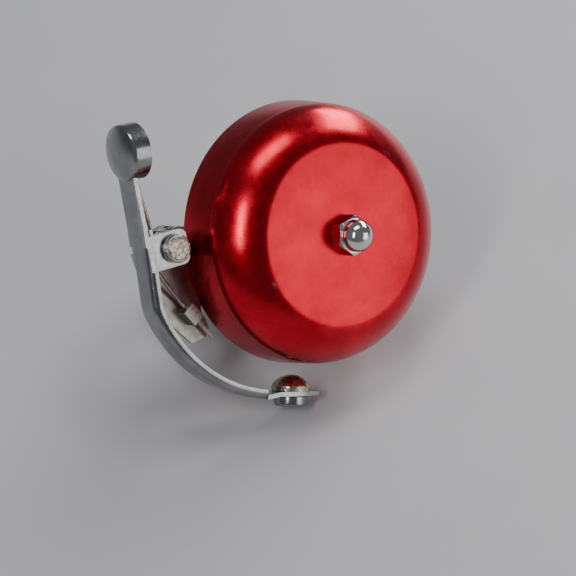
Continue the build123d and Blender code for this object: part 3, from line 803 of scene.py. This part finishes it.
@dataclass(frozen=True)
class ThreadSizes:
    """Sizes of the screw's thread in millimetres."""

    crest_radius: float = 2.5
    root_radius: float = 2.07
    pitch: float = 0.8
    steps_per_turn: int = 36
    head_height: float = 3.4
    into_head: float = 0.2
    flank_foot: float = 0.12
    crest_start: float = 0.46


@dataclass
class ClampScrew(Piece):
    """Socket-head screw with a cut thread."""

    sizes: ThreadSizes = field(default_factory=ThreadSizes)

    def shape(self, mesh: bmesh.types.BMesh) -> None:
        """Head from the node, thread spun along the shank.

        Args:
            mesh: An empty mesh.
        """
        s = self.sizes
        low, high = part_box(self.node)
        centre = (low + high) / 2
        seat = low.z + s.head_height * MM
        mesh.from_mesh(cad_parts[self.node].data)
        bmesh.ops.remove_doubles(mesh, verts=mesh.verts, dist=MERGE)
        trim(mesh, seat + s.into_head * MM, 1)
        bmesh.ops.dissolve_limit(
            mesh, angle_limit=FLAT_ANGLE, use_dissolve_boundaries=False, verts=mesh.verts, edges=mesh.edges
        )
        thread = bmesh.new()
        self.thread(thread, seat, high.z, centre)
        finished = bpy.data.meshes.new("thread")
        thread.to_mesh(finished)
        thread.free()
        mesh.from_mesh(finished)
        bpy.data.meshes.remove(finished)

    def thread(self, mesh: bmesh.types.BMesh, low: float, high: float, centre: Vector) -> None:
        """Spin one pitch of the thread's outline up the shank and trim both ends.

        Args:
            mesh: An empty mesh.
            low: Lowest level in metres.
            high: Highest level in metres.
            centre: A point on the screw's axis.
        """
        s = self.sizes
        pitch = s.pitch * MM
        base = low - 2 * pitch
        turns = math.ceil((high - low) / pitch) + 4
        rising = [(s.root_radius, 0.0), (s.root_radius, s.flank_foot), (s.crest_radius, s.crest_start)]
        outline = rising + [(r, 1.0 - h) for r, h in reversed(rising)]
        verts = [mesh.verts.new((centre.x + r * MM, centre.y, base + h * pitch)) for r, h in outline]
        edges = [mesh.edges.new(pair) for pair in zip(verts, verts[1:])]
        steps = turns * s.steps_per_turn
        bmesh.ops.spin(
            mesh, geom=verts + edges, cent=(centre.x, centre.y, 0), axis=(0, 0, 1),
            dvec=(0, 0, pitch / s.steps_per_turn), angle=math.tau * turns, steps=steps, use_duplicate=False,
        )
        bmesh.ops.remove_doubles(mesh, verts=mesh.verts, dist=MERGE)
        trim(mesh, low, -1)
        trim(mesh, high, 1)


@dataclass(frozen=True)
class SpringSizes:
    """Sizes of the torsion spring in millimetres, in the bell's frame."""

    pivot: Point = (-3.7, 36.3)
    wire_radius: float = 0.45
    coil_radius: float = 3.45
    low: float = 19.65
    rise: float = 3.3
    turns: int = 3
    bend: Point = (-5.3, 1.4)
    hook: tuple[float, float, float] = (-18.61, 27.15, 17.49)
    before_hook: float = 4.2
    past_hook: float = 8.0
    points_per_turn: int = 24
    pad_end: tuple[float, float, float] = (10.5, 44.99, 22.3)


@dataclass
class TorsionSpring(Piece):
    """Coil with two legs."""

    sizes: SpringSizes = field(default_factory=SpringSizes)

    def leaves(self, x: float, y: float, side: int) -> float:
        """Angle on the coil at which the wire leaves for a point.

        Args:
            x: The point, from the pivot.
            y: The point, from the pivot.
            side: 1 for the upper leg and -1 for the lower.

        Returns:
            The angle in radians.
        """
        return math.atan2(y, x) + side * math.acos(self.sizes.coil_radius / math.hypot(x, y))

    def path(self) -> list[Vector]:
        """Control points of the wire from past the hook to the stem beside the thumb pad.

        Returns:
            Points in millimetres.
        """
        s = self.sizes
        px, py = s.pivot
        start = self.leaves(*s.bend, -1)
        end = self.leaves(s.pad_end[0] - px, s.pad_end[1] - py, 1)
        sweep = math.tau * s.turns + (start - end)
        bend = Vector((px + s.bend[0], py + s.bend[1], s.low))
        hook = Vector(s.hook)
        way = Vector((hook.x - bend.x, hook.y - bend.y, 0)).normalized()
        points = [hook + way * s.past_hook, hook, hook - way * s.before_hook]
        points += [points[-1].lerp(bend, 0.5), bend.lerp(points[-1], 0.08), bend]
        count = s.turns * s.points_per_turn
        for i in range(count + 1):
            angle = start - sweep * i / count
            x, y = px + s.coil_radius * math.cos(angle), py + s.coil_radius * math.sin(angle)
            points.append(Vector((x, y, s.low + s.rise * i / count)))
        tip = Vector(s.pad_end)
        return points + [points[-1].lerp(tip, 0.15), points[-1].lerp(tip, 0.6), tip]

    def shape(self, mesh: bmesh.types.BMesh) -> None:
        """Run a round wire along the path.

        Args:
            mesh: An empty mesh.
        """
        curve = bpy.data.curves.new("wire_path", "CURVE")
        curve.dimensions = "3D"
        curve.bevel_depth = self.sizes.wire_radius * MM
        curve.bevel_resolution = 5
        curve.use_fill_caps = True
        curve.resolution_u = 3
        spline = curve.splines.new("NURBS")
        path = self.path()
        spline.points.add(len(path) - 1)
        for point, place in zip(spline.points, path):
            point.co = (*(place * MM), 1.0)
        spline.order_u = 3
        spline.use_endpoint_u = True
        holder = bpy.data.objects.new("wire_path", curve)
        bpy.context.scene.collection.objects.link(holder)
        bpy.context.view_layer.update()
        drawn = bpy.data.meshes.new_from_object(holder.evaluated_get(bpy.context.evaluated_depsgraph_get()))
        mesh.from_mesh(drawn)
        bpy.data.objects.remove(holder)
        bpy.data.curves.remove(curve)
        bpy.data.meshes.remove(drawn)

    def attach(self, thing: bpy.types.Object) -> None:
        """Bake the object's placement into its mesh and hide its node.

        Args:
            thing: The finished object.
        """
        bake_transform(thing)
        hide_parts(self.node)


class DomeAssembly:
    """Dome, its nut, its post and the washers between them."""

    def __init__(self, finishes: Finishes) -> None:
        """List the pieces.

        Args:
            finishes: The bell's materials.
        """
        clamp = Body.CLAMP
        self.pieces: list[Piece] = [
            DomeShell("dome", clamp, finishes.dome, bevel_mm=0.0, steps=160),
            RoundedCopy("acorn_nut", clamp, finishes.bright, bevel_mm=0.1),
            RoundedCopy("dome_post", clamp, finishes.turned, bevel_mm=0.15),
            RoundedCopy("saddle_washer", clamp, finishes.turned, bevel_mm=0.1),
            RoundedCopy("dome_seat_washer", clamp, finishes.rubber, bevel_mm=0.15),
            RoundedCopy("dome_spring_washer", clamp, finishes.screw, bevel_mm=0.08),
        ]


class LeverAssembly:
    """Pressed lever with its two-piece hammer."""

    def __init__(self, finishes: Finishes) -> None:
        """List the pieces.

        Args:
            finishes: The bell's materials.
        """
        lever = Body.LEVER
        _, head_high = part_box("hammer_head")
        cap_low, cap_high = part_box("hammer_rivet_cap")
        sizes = HammerSizes()
        along = Vector((1, 0, 0))
        middle = (cap_low + cap_high) / 2
        head_seat = Vector((head_high.x - sizes.head_height * MM, middle.y, middle.z))
        cap_seat = Vector((cap_high.x, middle.y, middle.z))
        self.pieces: list[Piece] = [
            RoundedCopy("strike_lever", lever, finishes.lever, bevel_mm=0.25),
            HammerHead("hammer_head", lever, finishes.rivet, 0.0, centre=head_seat, axis=along, sizes=sizes),
            HammerCap(
                "hammer_rivet_cap", lever, finishes.lever, 0.0, centre=cap_seat, axis=along, sizes=sizes
            ),
        ]


class PivotAssembly:
    """Rivet, sleeve, washers and the torsion spring."""

    def __init__(self, finishes: Finishes) -> None:
        """List the pieces.

        Args:
            finishes: The bell's materials.
        """
        clamp = Body.CLAMP
        low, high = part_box("pivot_rivet")
        middle = (low + high) / 2
        centre = Vector((middle.x, middle.y, 0))
        self.pieces: list[Piece] = [
            PivotRivet("pivot_rivet", clamp, finishes.rivet, bevel_mm=0.0, centre=centre, steps=64),
            RoundedCopy("pivot_upper_washer", clamp, finishes.turned, bevel_mm=0.06),
            RoundedCopy("pivot_lower_washer", clamp, finishes.turned, bevel_mm=0.06),
            RoundedCopy("spring_sleeve", clamp, finishes.brass, bevel_mm=0.08),
            TorsionSpring("torsion_spring", clamp, finishes.wire, bevel_mm=0.0),
        ]


class ClampAssembly:
    """Band, liner, bracket and the clamp screw with its nut and washer."""

    def __init__(self, finishes: Finishes) -> None:
        """List the pieces.

        Args:
            finishes: The bell's materials.
        """
        clamp = Body.CLAMP
        self.pieces: list[Piece] = [
            RoundedCopy("clamp_band", clamp, finishes.band, bevel_mm=0.25),
            RoundedCopy("bar_liner", clamp, finishes.rubber, bevel_mm=0.2),
            RoundedCopy("clamp_nut", clamp, finishes.screw, bevel_mm=0.08),
            RoundedCopy("lever_bracket", clamp, finishes.bracket, bevel_mm=0.25),
            ClampScrew("clamp_screw", Body.SCREW, finishes.screw, bevel_mm=0.0),
            RoundedCopy("clamp_screw_washer", Body.SCREW_CARRIER, finishes.turned, bevel_mm=0.1),
        ]


@dataclass(frozen=True)
class SoftLight:
    """A square or oblong soft light aimed at the bell."""

    name: str
    direction: tuple[float, float, float]
    distance: float
    width: float
    height: float
    power: float
    tint: Colour = (1.0, 1.0, 1.0)

    def hang(self, target: Vector) -> None:
        """Place the light.

        Args:
            target: The point it faces.
        """
        lamp = bpy.data.lights.new(self.name, "AREA")
        lamp.shape = "RECTANGLE"
        lamp.size = self.width
        lamp.size_y = self.height
        lamp.energy = self.power
        lamp.color = self.tint
        holder = bpy.data.objects.new(self.name, lamp)
        way = Vector(self.direction).normalized()
        holder.location = target + way * self.distance
        holder.rotation_mode = "QUATERNION"
        holder.rotation_quaternion = way.to_track_quat("Z", "Y")
        bpy.context.scene.collection.objects.link(holder)


@dataclass(frozen=True)
class Studio:
    """Floor, lights and camera round the bell, in metres."""

    floor_normal: tuple[float, float, float] = (0.734, 0.391, 0.5557)
    floor_drop: float = 0.0187
    floor_size: float = 3.0
    camera_place: tuple[float, float, float] = (0.0222, 0.4795, 0.7365)
    camera_right: tuple[float, float, float] = (0.0247, -0.8328, 0.5530)
    camera_up: tuple[float, float, float] = (0.9989, -0.0019, -0.0475)
    lens: float = 236.8
    ambient: float = 0.16
    target: tuple[float, float, float] = (0.0, 0.0, 0.028)
    lights: tuple[SoftLight, ...] = (
        SoftLight("face_softbox", (-0.04, -0.50, 0.86), 0.8, 0.56, 0.5, 1.5),
        SoftLight("rear_softbox", (0.83, -0.55, 0.04), 0.8, 0.25, 0.6, 4.0),
        SoftLight("shoulder_softbox", (0.85, 0.33, 0.42), 0.8, 0.45, 0.22, 1.6),
        SoftLight("side_strip", (0.08, 0.81, 0.56), 0.8, 0.4, 0.1, 1.8),
    )

    def lay_floor(self, material: bpy.types.Material) -> None:
        """Lay the plane that the bell rests on.

        Args:
            material: The floor's material.
        """
        mesh = bmesh.new()
        bmesh.ops.create_grid(mesh, x_segments=2, y_segments=2, size=self.floor_size / 2)
        normal = Vector(self.floor_normal).normalized()
        turn = normal.to_track_quat("Z", "Y").to_matrix().to_4x4()
        place = Matrix.Translation(-self.floor_drop * normal) @ turn
        bmesh.ops.transform(mesh, matrix=place, verts=mesh.verts)
        data = bpy.data.meshes.new("floor")
        mesh.to_mesh(data)
        mesh.free()
        data.materials.append(material)
        floor = bpy.data.objects.new("floor", data)
        bpy.context.scene.collection.objects.link(floor)

    def light(self) -> None:
        """Hang the soft lights and set the room's own light."""
        for lamp in self.lights:
            lamp.hang(Vector(self.target))
        world = bpy.data.worlds.new("room")
        world.use_nodes = True
        ground = world.node_tree.nodes["Background"]
        ground.inputs["Color"].default_value = (0.9, 0.92, 1.0, 1.0)
        ground.inputs["Strength"].default_value = self.ambient
        bpy.context.scene.world = world

    def place_camera(self) -> None:
        """Set the scene's camera."""
        data = bpy.data.cameras.new("camera")
        data.lens = self.lens
        data.sensor_width = 36.0
        data.clip_start = 0.01
        data.clip_end = 20.0
        camera = bpy.data.objects.new("camera", data)
        right = Vector(self.camera_right).normalized()
        up = Vector(self.camera_up).normalized()
        back = right.cross(up).normalized()
        turn = Matrix((right, back.cross(right), back)).transposed().to_4x4()
        camera.matrix_world = Matrix.Translation(Vector(self.camera_place)) @ turn
        bpy.context.scene.collection.objects.link(camera)
        bpy.context.scene.camera = camera


def main() -> None:
    logging.basicConfig(level=logging.INFO, format="%(name)s %(message)s")
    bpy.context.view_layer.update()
    finishes = Finishes()
    for assembly in (DomeAssembly, LeverAssembly, PivotAssembly, ClampAssembly):
        for piece in assembly(finishes).pieces:
            piece.build()
    studio = Studio()
    studio.lay_floor(finishes.floor)
    studio.light()
    studio.place_camera()


if __name__ == "__main__":
    main()
